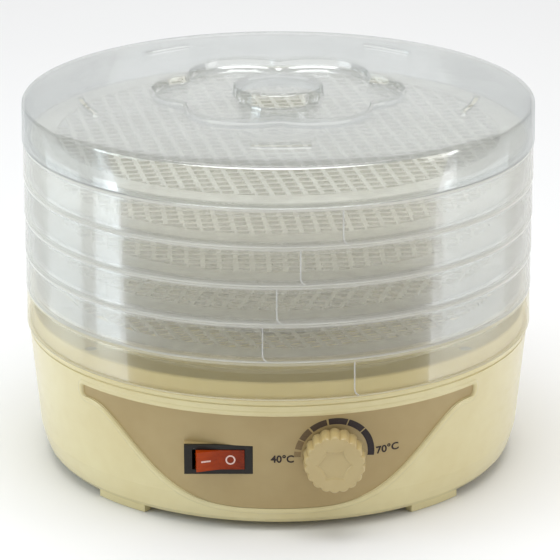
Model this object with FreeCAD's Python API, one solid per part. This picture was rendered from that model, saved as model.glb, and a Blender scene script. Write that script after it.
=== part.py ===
import FreeCAD
import Part
import math
import os

# Food dehydrator: powered base, five stacked trays and a lid.
# Millimetres, +Z up, front towards -Y, base of the feet at Z = 0.
# ---------------------------------------------------------------- sizes
tray_count = 5
tray_pitch = 17.9            # height each tray adds to the stack
tray_foot_r = 121.0          # outer radius at the lower edge of a wall
tray_draft = 0.4             # how much smaller a wall is at its shoulder
tray_head_r = tray_foot_r - tray_draft
clear_wall = 1.4             # wall of the clear mouldings
upstand_step = 2.0           # shoulder width outside the upstand
seat_gap = 0.1               # between a wall foot and the shoulder under it
floor_t = 1.6                # grille thickness
floor_fit = 0.6              # between the grille edge and its upstand
window_pitch_x = 14.0
window_pitch_y = 13.0
window_bar = 3.0
hub_hole_r = 9.0
hub_ring_r = 18.0
tray_turn = [20.0, -14.0, 2.0, 6.0, 11.0]    # bottom tray first, degrees

fan_r = 40.0
fan_blades = 7
fan_depth = 8.0
outlet_clear = 4.0           # between the fan tips and the air outlet
motor_shaft_r = 1.6

foot_h = 3.4                 # underside of the shell above the table
rim_z = 63.4                 # joint between deck and shell
shoulder_z = rim_z + 2.7     # where the lowest tray stands
spigot_fit = 1.4             # between the spigot and the lowest wall
spigot_t = 1.6
spigot_r = tray_foot_r - clear_wall - spigot_fit
spigot_top_z = shoulder_z + 7.8
deck_r = tray_foot_r - 1.0
ledge_z = shoulder_z + 5.9   # top of the flat ledge inside the spigot
deck_t = 2.0
outlet_r = fan_r + outlet_clear
outlet_z = ledge_z - 10.0
fan_z = outlet_z - 18.0
heater_z = outlet_z - 7.5
motor_z0 = fan_z - 29.0

shell_top_r = deck_r - 0.2
shell_low_r = shell_top_r - 4.8
shell_low_z = 10.0
shell_foot_r = shell_low_r - 4.4
corner_z = 16.0              # where the rounded lower corner starts
shell_t = 3.4
grip_top_x = shell_top_r - 3.5    # half width across the side grips, high end
grip_low_x = shell_low_r - 1.6    # half width across the side grips, low end
grip_top_z = 36.0
grip_start_z = 46.0
cover_gap = 1.4
cover_r = shell_foot_r - shell_t - cover_gap
cover_t = 2.2
inlet_out = 9.8              # how far the cord collar stands out of the shell
inlet_z = 17.0

panel_top_z = rim_z - 5.2
panel_low_z = 11.3           # lowest point of the panel
panel_tail = 6.0             # height of the blunt ends
panel_corner = 2.4
groove = 0.5                 # chamfers that leave a line between deck and shell
panel_half = 46.4            # half angle where its lower edge levels out
panel_end = 49.4             # half angle of the blunt ends, degrees
panel_curve = 1.89
panel_sink = 0.9             # panel face below the shell face
panel_t = 1.2
recess_depth = 2.6           # below the shell face
panel_gap = 0.25             # panel edge to the recess edge
switch_z = rim_z - 27.5
knob_z = rim_z - 25.6

rocker_w = 21.8
rocker_h = 9.2
rocker_gap = 0.25            # round the rocker in its well
switch_x = -26.9
switch_w = rocker_w + 9.2
switch_h = rocker_h + 4.8
switch_face_y = 1.5 - shell_low_r
switch_tilt = 9.0            # rocker lean each side of centre, degrees

knob_x = 25.3
knob_r = 14.3
knob_flutes = 18
knob_back_y = -shell_low_r - 1.9
knob_len = 10.3
shaft_r = 3.0
shaft_fit = 0.05

lid_r = tray_foot_r + 0.2
lid_rise = 5.0               # crown of the lid over its shoulder
grip_depth = 4.2             # depth of the finger recess
lobe_r = 26.0
lobe_at = 33.0
boss_r = 21.0
boss_rise = 2.0
vent_count = 5
vent_at = lid_r - 27.2       # radius of the steam vents
vent_len = 26.0
vent_w = 2.6
vent_turn = 55.0

Z = FreeCAD.Vector(0, 0, 1)


# ---------------------------------------------------------------- helpers
def v(x, y, z):
    return FreeCAD.Vector(x, y, z)


def cyl(r, z0, z1, x=0.0, y=0.0):
    return Part.makeCylinder(r, z1 - z0, v(x, y, z0))


def cyl_y(r, y0, y1, x, z):
    return Part.makeCylinder(r, y1 - y0, v(x, y0, z), v(0, 1, 0))


def box(x0, x1, y0, y1, z0, z1):
    return Part.makeBox(x1 - x0, y1 - y0, z1 - z0, v(x0, y0, z0))


def revolve(points):
    pts = [v(r, 0, z) for r, z in points]
    face = Part.Face(Part.makePolygon(pts + [pts[0]]))
    return face.revolve(v(0, 0, 0), Z, 360)


def around(shape, angles):
    out = []
    for a in angles:
        c = shape.copy()
        c.rotate(v(0, 0, 0), Z, a)
        out.append(c)
    return out


def fuse(shapes):
    first = shapes[0]
    return first.fuse(shapes[1:]).removeSplitter()


def save(shape, name):
    os.makedirs("parts", exist_ok=True)
    shape.exportStep("parts/" + name + ".step")
    print(name, len(shape.Solids), round(shape.Volume / 1000.0, 2), shape.isValid())


def seat(level):
    """Height of the shoulder of tray number level, counted from the bottom."""
    return shoulder_z + tray_pitch * level


# ---------------------------------------------------------------- trays
def tray_ring(z0):
    head_in = tray_head_r - clear_wall
    foot_in = tray_foot_r - clear_wall
    up_out = tray_head_r - upstand_step
    up_in = up_out - clear_wall
    low = z0 - tray_pitch + seat_gap
    return revolve([
        (tray_foot_r, low), (tray_head_r, z0), (up_out, z0), (up_out, z0 + floor_t),
        (up_in, z0 + floor_t), (up_in, z0), (up_in - 5.0, z0), (up_in - 5.0, z0 - 1.4),
        (up_in - 0.9, z0 - 1.4), (up_in - 0.9, z0 - 4.3), (up_in + 0.5, z0 - 4.3),
        (up_in + 0.5, z0 - 1.4), (head_in, z0 - 1.4), (foot_in, low)])


def tray_floor(z0, turn):
    edge = tray_head_r - upstand_step - clear_wall - floor_fit
    plate = cyl(edge, z0, z0 + floor_t)
    wx = window_pitch_x - window_bar
    wy = window_pitch_y - window_bar
    holes = []
    many = int(edge / min(window_pitch_x, window_pitch_y)) + 1
    for i in range(-many, many + 1):
        for j in range(-many, many + 1):
            cx = i * window_pitch_x
            cy = j * window_pitch_y
            far = math.hypot(abs(cx) + wx / 2, abs(cy) + wy / 2)
            near = math.hypot(max(abs(cx) - wx / 2, 0), max(abs(cy) - wy / 2, 0))
            if far < edge - 3.5 and near > hub_ring_r + 2.0:
                holes.append(box(cx - wx / 2, cx + wx / 2, cy - wy / 2, cy + wy / 2,
                                 z0 - 1, z0 + floor_t + 1))
    plate = plate.cut(Part.makeCompound(holes))
    hub = cyl(hub_ring_r, z0, z0 + floor_t + 2.0).cut(cyl(hub_ring_r - 1.6, z0 - 1, z0 + 9))
    plate = plate.fuse(hub).cut(cyl(hub_hole_r, z0 - 1, z0 + 9))
    plate.rotate(v(0, 0, 0), Z, turn)
    return plate


# ---------------------------------------------------------------- lid
def lobes(r, z0, z1):
    petals = []
    for i in range(6):
        a = math.radians(60.0 * i)
        petals.append(cyl(r, z0, z1, lobe_at * math.cos(a), lobe_at * math.sin(a)))
    petals.append(cyl(lobe_at, z0, z1))
    return fuse(petals)


def lid():
    low = seat(tray_count) + seat_gap
    sh = seat(tray_count + 1)
    top = sh + lid_rise
    t = clear_wall
    crown = revolve([
        (lid_r, low), (lid_r - 0.3, sh - 0.4), (lid_r - 1.0, sh + 0.8),
        (lid_r - 2.8, sh + 1.6), (lid_r - 6.0, sh + 2.4), (lid_r - 19.2, top - 0.8),
        (lid_r - 37.2, top), (0, top), (0, top - t), (lid_r - 37.4, top - t),
        (lid_r - 19.4, top - 0.8 - t), (lid_r - 6.4, sh + 2.4 - t),
        (lid_r - t - 1.8, sh + 0.3), (lid_r - t - 0.5, sh - 0.8), (lid_r - t - 0.2, low)])
    floor = top - grip_depth
    tub = lobes(lobe_r + t, floor - t, top)
    well = lobes(lobe_r, floor, top + 5)
    boss = cyl(boss_r, floor - t, top + boss_rise).cut(
        cyl(boss_r - t, floor - t - 1, top + boss_rise - t))
    shell = crown.cut(lobes(lobe_r + t / 2, floor - 9, top + 5))
    tub = tub.cut(well).cut(cyl(boss_r - t / 2, floor - 5, top + 9))
    shell = shell.fuse(tub).fuse(boss)
    vent = box(vent_at - vent_w / 2, vent_at + vent_w / 2, -vent_len / 2, vent_len / 2,
               sh - 6, top + 4)
    vents = around(vent, [vent_turn + 360.0 * i / vent_count for i in range(vent_count)])
    return shell.cut(Part.makeCompound(vents)).removeSplitter()


# ---------------------------------------------------------------- base shell
def shell_r(z):
    return shell_low_r + (shell_top_r - shell_low_r) * (z - shell_low_z) / (rim_z - shell_low_z)


def grip_block(side, inset):
    """The solid that is taken off one side to leave a flat finger grip."""
    x0 = grip_low_x - inset
    x1 = grip_top_x - inset
    pts = [v(side * x0, -60, 0), v(side * x1, -60, grip_top_z),
           v(side * (shell_top_r + 1 - inset), -60, grip_start_z),
           v(side * (shell_top_r + 20), -60, grip_start_z), v(side * (shell_top_r + 20), -60, 0)]
    face = Part.Face(Part.makePolygon(pts + [pts[0]]))
    return face.extrude(v(0, 120, 0))


def panel_outline(grow):
    """Front outline of the control panel, extruded through the front wall."""
    low = panel_corner + grow
    high = panel_corner * 0.7 + grow
    last = panel_end - math.degrees(panel_corner / shell_top_r)
    pts = []
    steps = 24
    for i in range(-steps, steps + 1):
        a = last * i / steps
        k = min(abs(a) / panel_half, 1.0) ** panel_curve
        rise = panel_top_z - panel_tail - panel_low_z
        zz = panel_low_z + rise * 0.5 * (1 - math.cos(math.pi * k))
        pts.append(v((shell_r(zz) + grow) * math.sin(math.radians(a)), 0, zz - grow))
    curve = Part.BSplineCurve()
    curve.interpolate(pts)
    top = panel_top_z + grow
    diag = math.sqrt(0.5)
    edges = [curve.toShape()]
    tips = []
    for side, tip in ((1, pts[-1]), (-1, pts[0])):
        x = tip.x + side * low
        z = tip.z + low
        mid = v(tip.x + side * low * diag, 0, z - low * diag)
        edges.append(Part.Arc(tip, mid, v(x, 0, z)).toShape())
        edges.append(Part.makeLine(v(x, 0, z), v(x, 0, top - high)))
        mid = v(x - side * high * (1 - diag), 0, top - high * (1 - diag))
        edges.append(Part.Arc(v(x, 0, top - high), mid, v(x - side * high, 0, top)).toShape())
        tips.append(v(x - side * high, 0, top))
    edges.append(Part.makeLine(tips[0], tips[1]))
    face = Part.Face(Part.Wire(Part.__sortEdges__(edges)))
    face.translate(v(0, -shell_top_r - 20.2, 0))
    return face.extrude(v(0, 90, 0))


def band(outer_off, inner_off):
    """Ring that follows the shell face, between two offsets measured inwards."""
    z0 = panel_low_z - 8
    z1 = rim_z - 2.4
    return revolve([(shell_r(z0) - outer_off, z0), (shell_r(z1) - outer_off, z1),
                    (shell_r(z1) - inner_off, z1), (shell_r(z0) - inner_off, z0)])


def polar(r, a):
    return r * math.sin(math.radians(a)), -r * math.cos(math.radians(a))


deck_screw_at = (51.5, 128.5, 231.5, 308.5)
deck_screw_r = spigot_r - spigot_t - 6.2
cover_screw_at = (45.0, 135.0, 225.0, 315.0)
foot_at = (41.5, 138.5, 221.5, 318.5)
cover_screw_r = cover_r - 6.3


def base_body():
    t = shell_t
    outer = revolve([(0, foot_h), (shell_foot_r, foot_h), (shell_foot_r + 1.8, foot_h + 2.2),
                     (shell_foot_r + 3.2, foot_h + 6.0), (shell_r(corner_z), corner_z),
                     (shell_top_r, rim_z - groove), (shell_top_r - groove, rim_z), (0, rim_z)])
    inner = revolve([(0, 0), (shell_foot_r - t, 0), (shell_foot_r - t, foot_h + 3.0),
                     (shell_r(corner_z) - t, corner_z), (shell_top_r - t, rim_z + 1),
                     (0, rim_z + 1)])
    for side in (1, -1):
        outer = outer.cut(grip_block(side, 0))
        inner = inner.cut(grip_block(side, t))
    shell = outer.cut(inner)
    ledge_low = foot_h + cover_t
    ledge = cyl(shell_foot_r - t + 1.0, ledge_low, ledge_low + 2.0)
    ledge = ledge.cut(cyl(cover_r - 4.3, ledge_low - 1, ledge_low + 3))
    adds = [ledge]
    for a in cover_screw_at:
        x, y = polar(cover_screw_r, a)
        adds.append(cyl(4.0, ledge_low, ledge_low + 14, x, y))
    for a in deck_screw_at:
        x, y = polar(deck_screw_r, a)
        low = ledge_z - 48.0
        post = cyl(4.0, low, ledge_z - deck_t - 0.1, x, y)
        web = box(-1.2, 1.2, -(shell_r(low) - 1.5), -deck_screw_r, low, rim_z - 6)
        web.rotate(v(0, 0, 0), Z, a)
        adds += [post, web]
    foot = cyl(shell_foot_r - 0.3, 0, foot_h + 0.5).cut(cyl(cover_r + 0.6, -1, foot_h + 2))
    wedge = box(-14.5, 14.5, -shell_foot_r - 8, -shell_foot_r + 20, -1, foot_h + 2)
    foot = foot.common(wedge)
    adds += around(foot, foot_at)
    collar = cyl_y(8.0, shell_low_r - 10, shell_low_r + inlet_out, 0, inlet_z)
    adds.append(collar)
    shell = shell.fuse(adds)
    recess = band(-6.0, recess_depth).common(panel_outline(0))
    shell = shell.cut(recess)
    out_y = -shell_top_r - 6
    in_y = -shell_low_r + 25
    cuts = [cyl_y(4.75, shell_low_r - 20, shell_low_r + 20, 0, inlet_z)]
    cuts.append(cyl_y(5.2, out_y, in_y, knob_x, knob_z))
    cuts.append(box(switch_x - switch_w / 2 - 0.4, switch_x + switch_w / 2 + 0.4, out_y, in_y,
                    switch_z - switch_h / 2 - 0.4, switch_z + switch_h / 2 + 0.4))
    cuts.append(revolve([(shell_top_r - t - 1.5, rim_z - 5.0), (shell_top_r - t + 1.6, rim_z - 5.0),
                         (shell_top_r - t + 1.6, rim_z + 1), (shell_top_r - t - 1.5, rim_z + 1)]
                        ))
    for a in cover_screw_at:
        x, y = polar(cover_screw_r, a)
        cuts.append(cyl(1.45, ledge_low - 1, ledge_low + 12, x, y))
    for a in deck_screw_at:
        x, y = polar(deck_screw_r, a)
        cuts.append(cyl(1.45, ledge_z - 14, ledge_z, x, y))
    return shell.cut(cuts).removeSplitter()


def bottom_cover():
    low = foot_h
    plate = cyl(cover_r, low, low + cover_t)
    slots = []
    for k in range(3):
        r0 = 20.0 + k * 12.0
        ring = cyl(r0 + 5.0, low - 1, low + 4).cut(cyl(r0, low - 1, low + 4))
        for q in range(4):
            gap = box(-3.5, 3.5, -80, 0, low - 1, low + 4)
            gap.rotate(v(0, 0, 0), Z, 90 * q + 45)
            ring = ring.cut(gap)
        slots.append(ring)
    plate = plate.cut(slots)
    posts = []
    for x, y in motor_posts:
        posts.append(cyl(3.6, low + cover_t - 0.5, motor_z0, x, y))
    x, y = terminal_at
    posts.append(box(x - 8, x + 8, y - 5, y + 5, low + cover_t - 0.5, low + cover_t + 4))
    plate = plate.fuse(posts)
    cuts = []
    for a in cover_screw_at:
        x, y = polar(cover_screw_r, a)
        cuts.append(cyl(1.8, low - 1, low + 4, x, y))
        cuts.append(cyl(3.4, low - 1, low + 1.2, x, y))
    for x, y in motor_posts:
        cuts.append(cyl(1.25, motor_z0 - 10, motor_z0 + 1, x, y))
    return plate.cut(cuts).removeSplitter()


def base_deck():
    s = spigot_t
    lip_in = shell_top_r - shell_t - 1.4
    plate = revolve([
        (deck_r - groove, rim_z), (deck_r, rim_z + groove), (deck_r, shoulder_z - 0.5), (deck_r - 0.5, shoulder_z),
        (spigot_r, shoulder_z), (spigot_r, spigot_top_z - 0.6),
        (spigot_r - 0.6, spigot_top_z), (spigot_r - s, spigot_top_z),
        (spigot_r - s, ledge_z), (spigot_r - 16.2, ledge_z), (outlet_r + 12, outlet_z + 2),
        (outlet_r + 2, outlet_z + 2), (outlet_r + 2, outlet_z + 5),
        (outlet_r, outlet_z + 5), (outlet_r, outlet_z), (outlet_r + 11, outlet_z),
        (spigot_r - 16.8, ledge_z - deck_t), (lip_in, ledge_z - deck_t), (lip_in, rim_z - 3.6),
        (lip_in + 1.6, rim_z - 3.6), (lip_in + 1.6, rim_z)])
    cuts = []
    for a in deck_screw_at:
        x, y = polar(deck_screw_r, a)
        cuts.append(cyl(1.8, ledge_z - 5, ledge_z + 1, x, y))
        cuts.append(cyl(2.9, ledge_z - 1.2, ledge_z + 1, x, y))
    return plate.cut(cuts)


def screws(at, r, head_z, up, length, head_r):
    out = []
    for a in at:
        x, y = polar(r, a)
        if up:
            head = cyl(head_r, head_z, head_z + 1.1, x, y)
            body = cyl(1.4, head_z - length, head_z + 0.5, x, y)
        else:
            head = cyl(head_r, head_z - 1.1, head_z, x, y)
            body = cyl(1.4, head_z - 0.5, head_z + length, x, y)
        slot = box(x - head_r, x + head_r, y - 0.4, y + 0.4,
                   head_z + (0.6 if up else -1.2), head_z + (1.2 if up else -0.6))
        out.append(head.fuse(body).cut(slot))
    return Part.makeCompound(out)


# ---------------------------------------------------------------- front panel
def control_panel():
    skin = band(panel_sink, panel_sink + panel_t).common(panel_outline(-panel_gap))
    w = switch_w / 2
    h = switch_h / 2
    block = box(switch_x - w, switch_x + w, switch_face_y + 0.1, switch_face_y + 18.5,
                switch_z - h, switch_z + h)
    inside = band(panel_sink + panel_t, 30.0)
    skin = skin.fuse(block.cut(inside).common(band(-20.0, panel_sink + panel_t)))
    proud = band(-20.0, panel_sink)
    out_y = -shell_top_r - 20
    front_cut = box(switch_x - w, switch_x + w, out_y, switch_face_y + 0.1,
                    switch_z - h, switch_z + h)
    skin = skin.cut(front_cut.common(band(-30.0, panel_sink + panel_t + 5)))
    in_y = -shell_low_r + 25
    hole = box(switch_x - rocker_w / 2 - 2.7, switch_x + rocker_w / 2 + 2.7, out_y, in_y,
               switch_z - rocker_h / 2 - 1.5, switch_z + rocker_h / 2 + 1.5)
    bush = cyl_y(4.95, out_y, in_y, knob_x, knob_z)
    return skin.cut([hole, bush]).removeSplitter()


def switch_housing():
    y0 = switch_face_y
    bezel = box(switch_x - switch_w / 2, switch_x + switch_w / 2, y0 - 1.8, y0,
                switch_z - switch_h / 2, switch_z + switch_h / 2)
    half_w = rocker_w / 2 + 2.5
    half_h = rocker_h / 2 + 1.3
    body = box(switch_x - half_w, switch_x + half_w, y0, y0 + 17,
               switch_z - half_h, switch_z + half_h)
    well = box(switch_x - half_w + 1.5, switch_x + half_w - 1.5, y0 - 3, y0 + 14,
               switch_z - rocker_h / 2 - rocker_gap, switch_z + rocker_h / 2 + rocker_gap)
    pin = Part.makeCylinder(pin_r + pin_fit, rocker_h + 2.2,
                            v(switch_x, rocker_axis_y, switch_z - rocker_h / 2 - 1.1))
    slots = []
    for dx in blade_at:
        slots.append(box(switch_x + dx - 0.5, switch_x + dx + 0.5, y0 + 14.5, y0 + 18,
                         switch_z - 2.5, switch_z + 2.5))
    case = bezel.fuse(body).cut([well, pin] + slots)
    return case.removeSplitter()


rocker_axis_y = switch_face_y + 2.0
blade_at = (-8.0, 0.0, 8.0)
pin_r = 1.1
pin_fit = 0.05


def rocker():
    w = rocker_w / 2
    rise = w * math.tan(math.radians(switch_tilt))
    y0 = switch_face_y - 2.3
    pts = [(-w, y0 - rise), (0, y0), (w, y0 - rise), (w - 0.3, y0 + 5.4), (3.5, y0 + 9),
           (-3.5, y0 + 9), (-w + 0.3, y0 + 5.4)]
    ring = [v(switch_x + x, y, switch_z - rocker_h / 2) for x, y in pts]
    body = Part.Face(Part.makePolygon(ring + [ring[0]])).extrude(v(0, 0, rocker_h))
    pin = Part.makeCylinder(pin_r, rocker_h + 1.8,
                            v(switch_x, rocker_axis_y, switch_z - rocker_h / 2 - 0.9))
    body = body.fuse(pin).removeSplitter()
    body.rotate(v(switch_x, rocker_axis_y, 0), Z, switch_tilt)
    return body


def switch_terminals():
    blades = []
    for dx in blade_at:
        blades.append(box(switch_x + dx - 0.4, switch_x + dx + 0.4, switch_face_y + 14.6,
                          switch_face_y + 25, switch_z - 2.4, switch_z + 2.4))
    return Part.makeCompound(blades)


# ---------------------------------------------------------------- thermostat
def dial_knob():
    y0 = knob_back_y - knob_len
    core = cyl_y(knob_r - 0.7, y0 + 1.0, knob_back_y, knob_x, knob_z)
    face = Part.makeCone(knob_r - 1.7, knob_r - 0.7, 1.0, v(knob_x, y0, knob_z), v(0, 1, 0))
    flutes = []
    for i in range(knob_flutes):
        a = 2 * math.pi * i / knob_flutes
        flutes.append(cyl_y(1.7, y0 + 1.0, knob_back_y, knob_x + (knob_r - 1.7) * math.cos(a),
                            knob_z + (knob_r - 1.7) * math.sin(a)))
    knob = core.fuse([face] + flutes)
    hexa = []
    for i in range(6):
        a = math.radians(60 * i)
        hexa.append(v(knob_x + 6.8 * math.cos(a), y0 - 0.5, knob_z + 6.8 * math.sin(a)))
    dish = Part.Face(Part.makePolygon(hexa + [hexa[0]])).extrude(v(0, 0.9, 0))
    bore = cyl_y(shaft_r, knob_back_y - 8.0, knob_back_y + 1, knob_x, knob_z)
    hollow = cyl_y(knob_r - 3.4, knob_back_y - 7.0, knob_back_y + 1, knob_x, knob_z)
    hollow = hollow.cut(cyl_y(6.6, knob_back_y - 9, knob_back_y + 2, knob_x, knob_z))
    return knob.cut([dish, bore, hollow]).removeSplitter()


def thermostat_shaft():
    k = knob_back_y
    rod = cyl_y(shaft_r, k - 7.8, k + 30.9, knob_x, knob_z)
    cam = cyl_y(6.0, k + 28.9, k + 31.9, knob_x, knob_z)
    return rod.fuse(cam).removeSplitter()


def thermostat_body():
    k = knob_back_y
    bush = cyl_y(4.8, k + 1.5, k + 19.9, knob_x, knob_z)
    case = box(knob_x - 13, knob_x + 13, k + 18.4, k + 38.9, knob_z - 10, knob_z + 10)
    room = box(knob_x - 11.5, knob_x + 11.5, k + 19.9, k + 37.4, knob_z - 8.5, knob_z + 8.5)
    bore = cyl_y(shaft_r + shaft_fit, k - 3.1, k + 20.9, knob_x, knob_z)
    tabs = []
    for dz in (-6.0, 6.0):
        tabs.append(box(knob_x - 3, knob_x + 3, k + 37.3, k + 46.9, knob_z + dz - 0.4,
                        knob_z + dz + 0.4))
    stem = cyl_y(2.2, k + 32.2, k + 37.9, knob_x, knob_z)
    return case.cut(room).fuse([bush, stem] + tabs).cut(bore).removeSplitter()


def thermostat_nut():
    k = knob_back_y
    hexa = []
    for i in range(6):
        a = math.radians(60 * i)
        hexa.append(v(knob_x + 7.6 * math.cos(a), k + 8.9, knob_z + 7.6 * math.sin(a)))
    nut = Part.Face(Part.makePolygon(hexa + [hexa[0]])).extrude(v(0, 2.6, 0))
    return nut.cut(cyl_y(4.9, k + 4.9, k + 16.9, knob_x, knob_z))


# ---------------------------------------------------------------- motor, fan, heater
motor_posts = ((-20.0, 14.0), (20.0, 14.0), (-20.0, -14.0), (20.0, -14.0))
terminal_at = (0.0, 70.0)


def motor_bracket_low():
    plate = box(-24, 24, -18, 18, motor_z0, motor_z0 + 1.6)
    tower = cyl(6.5, motor_z0 - 4, motor_z0 + 1.6)
    cuts = [cyl(1.45, motor_z0 - 8, motor_z0 + 3, x, y) for x, y in motor_posts]
    cuts.append(cyl(4.0, motor_z0 - 2.4, motor_z0 + 3))
    for sx in (-1, 1):
        cuts.append(box(sx * 13 - 3, sx * 13 + 3, -6, 6, motor_z0 - 1, motor_z0 + 3))
    return plate.fuse(tower).cut(cuts).removeSplitter()


def motor_bearing(z0):
    return cyl(3.9, z0, z0 + 4.0).cut(cyl(motor_shaft_r + 0.04, z0 - 1, z0 + 5))


def motor_stator():
    z0 = motor_z0 + 1.6
    block = box(-24, 24, -18, 18, z0, z0 + 14)
    bore = cyl(11.6, z0 - 1, z0 + 15)
    legs = box(-24, -14, 18, 40, z0, z0 + 14).fuse(box(14, 24, 18, 40, z0, z0 + 14))
    yoke = box(-24, 24, 40, 50, z0, z0 + 14)
    cuts = [bore] + [cyl(1.45, z0 - 1, z0 + 15, x, y) for x, y in motor_posts]
    return block.fuse([legs, yoke]).cut(cuts).removeSplitter()


def motor_coil():
    z0 = motor_z0 + 1.6
    former = box(-13.4, 13.4, 21, 39.6, z0 - 0.8, z0 + 14.8)
    wind = box(-12.0, 12.0, 23, 37.5, z0 - 3.5, z0 + 17.5)
    link = box(-6, 6, 18.05, 39.95, z0 + 3, z0 + 11)
    return former.fuse([wind, link]).removeSplitter()


def motor_bracket_high():
    z0 = motor_z0 + 15.6
    plate = box(-24, 24, -18, 18, z0, z0 + 1.6)
    tower = cyl(6.5, z0, z0 + 5.6)
    cuts = [cyl(1.45, z0 - 1, z0 + 3, x, y) for x, y in motor_posts]
    cuts.append(cyl(4.0, z0 - 1, z0 + 4.2))
    cuts.append(cyl(2.6, z0 - 1, z0 + 8))
    for sx in (-1, 1):
        cuts.append(box(sx * 13 - 3, sx * 13 + 3, -6, 6, z0 - 1, z0 + 3))
    return plate.fuse(tower).cut(cuts).removeSplitter()


def motor_screws():
    z1 = motor_z0 + 17.2
    out = []
    for x, y in motor_posts:
        head = cyl(2.6, z1, z1 + 1.6, x, y)
        out.append(head.fuse(cyl(1.2, motor_z0 - 8, z1 + 0.5, x, y)))
    return Part.makeCompound(out)


def motor_rotor():
    z0 = motor_z0 + 2.2
    core = cyl(11.2, z0, z0 + 12.8)
    rod = cyl(motor_shaft_r, motor_z0 - 2.2, fan_z + fan_depth - 0.5)
    return core.fuse(rod).removeSplitter()


def fan_impeller():
    hub = cyl(7.5, fan_z, fan_z + fan_depth)
    back = cyl(fan_r, fan_z, fan_z + 1.2)
    blades = []
    for i in range(fan_blades):
        blade = box(7.0, fan_r - 1.0, -0.7, 0.7, fan_z + 0.6, fan_z + fan_depth)
        blade.rotate(v(7.0, 0, 0), Z, 14)
        blade = blade.common(cyl(fan_r - 0.2, fan_z, fan_z + 20))
        blades += around(blade, [360.0 * i / fan_blades])
    wheel = hub.fuse(blades)
    vents = []
    for i in range(fan_blades):
        vents += around(cyl(5.5, fan_z - 1, fan_z + 2, 22.0, 0.0),
                        [360.0 * (i + 0.62) / fan_blades])
    disc = back.cut(vents)
    return wheel.fuse(disc).cut(cyl(motor_shaft_r, fan_z - 1, fan_z + 20)).removeSplitter()


def heat_shield():
    """Metal funnel round the fan, hung from the underside of the deck."""
    top = outlet_z - 0.05
    return revolve([(fan_r + 6, fan_z - 6), (fan_r + 7, fan_z - 6), (fan_r + 7, top - 1),
                    (fan_r + 12, top - 1), (fan_r + 12, top), (fan_r + 6, top)])


def heater_frame():
    rim = fan_r + 3.6
    ring = cyl(rim, heater_z, heater_z + 1.2).cut(cyl(fan_r - 2.0, heater_z - 1, heater_z + 2))
    bars = []
    for a in (0, 90):
        bar = box(0.6 - rim, rim - 0.6, -0.5, 0.5, heater_z, heater_z + 6.0)
        bars += around(bar, [a])
    lug = box(rim - 0.6, rim + 2.1, -3, 3, heater_z, heater_z + 1.2)
    lugs = around(lug, [45, 135, 225, 315])
    return ring.fuse(bars + lugs).removeSplitter()


def heater_coil():
    turns = []
    out_r = fan_r - 12.0
    for r in (out_r - 10.0, out_r):
        wire = Part.makeTorus(r, 1.5, v(0, 0, heater_z + 7.6))
        turns.append(wire)
    link = box(out_r - 9.5, out_r - 0.5, -0.6, 0.6, heater_z + 7.0, heater_z + 8.2)
    turns += around(link, [45.0])
    return turns[0].fuse(turns[1:]).removeSplitter()


def thermal_fuse():
    y = fan_r + 0.8
    body = Part.makeCylinder(2.0, 12.0, v(-6.0, y, heater_z + 3.6), v(1, 0, 0))
    foot = box(-1.5, 1.5, y - 1.4, y + 1.4, heater_z + 1.25, heater_z + 3.6)
    fuse_part = body.fuse(foot).removeSplitter()
    fuse_part.rotate(v(0, 0, 0), Z, 22.5)
    return fuse_part


def air_grille():
    z0 = outlet_z + 2.05
    ring = cyl(outlet_r + 1.0, z0 + 3.0, z0 + 5.0).cut(cyl(outlet_r - 2.0, z0, z0 + 8))
    rings = [ring]
    for r in (12.0, 22.0, 32.0):
        rings.append(cyl(r + 1.2, z0 + 3.0, z0 + 5.0).cut(cyl(r - 1.2, z0, z0 + 8)))
    bars = around(box(10.0, outlet_r - 1.0, -1.2, 1.2, z0 + 3.0, z0 + 5.0),
                  [45.0 * i for i in range(8)])
    hub = cyl(8.0, z0 + 3.0, z0 + 5.0)
    spokes = around(box(5.0, 12.0, -1.2, 1.2, z0 + 3.0, z0 + 5.0), [90.0 * i for i in range(4)])
    return hub.fuse(rings + bars + spokes).removeSplitter()


def terminal_block():
    x, y = terminal_at
    low = foot_h + cover_t + 4.05
    block = box(x - 11, x + 11, y - 5, y + 5, low, low + 11)
    cuts = []
    for dx in (-7.0, 0.0, 7.0):
        cuts.append(cyl_y(1.6, y - 6, y + 6, x + dx, low + 4))
        cuts.append(cyl(1.6, low + 6, low + 12, x + dx, y - 2.5))
    return block.cut(cuts)


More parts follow.
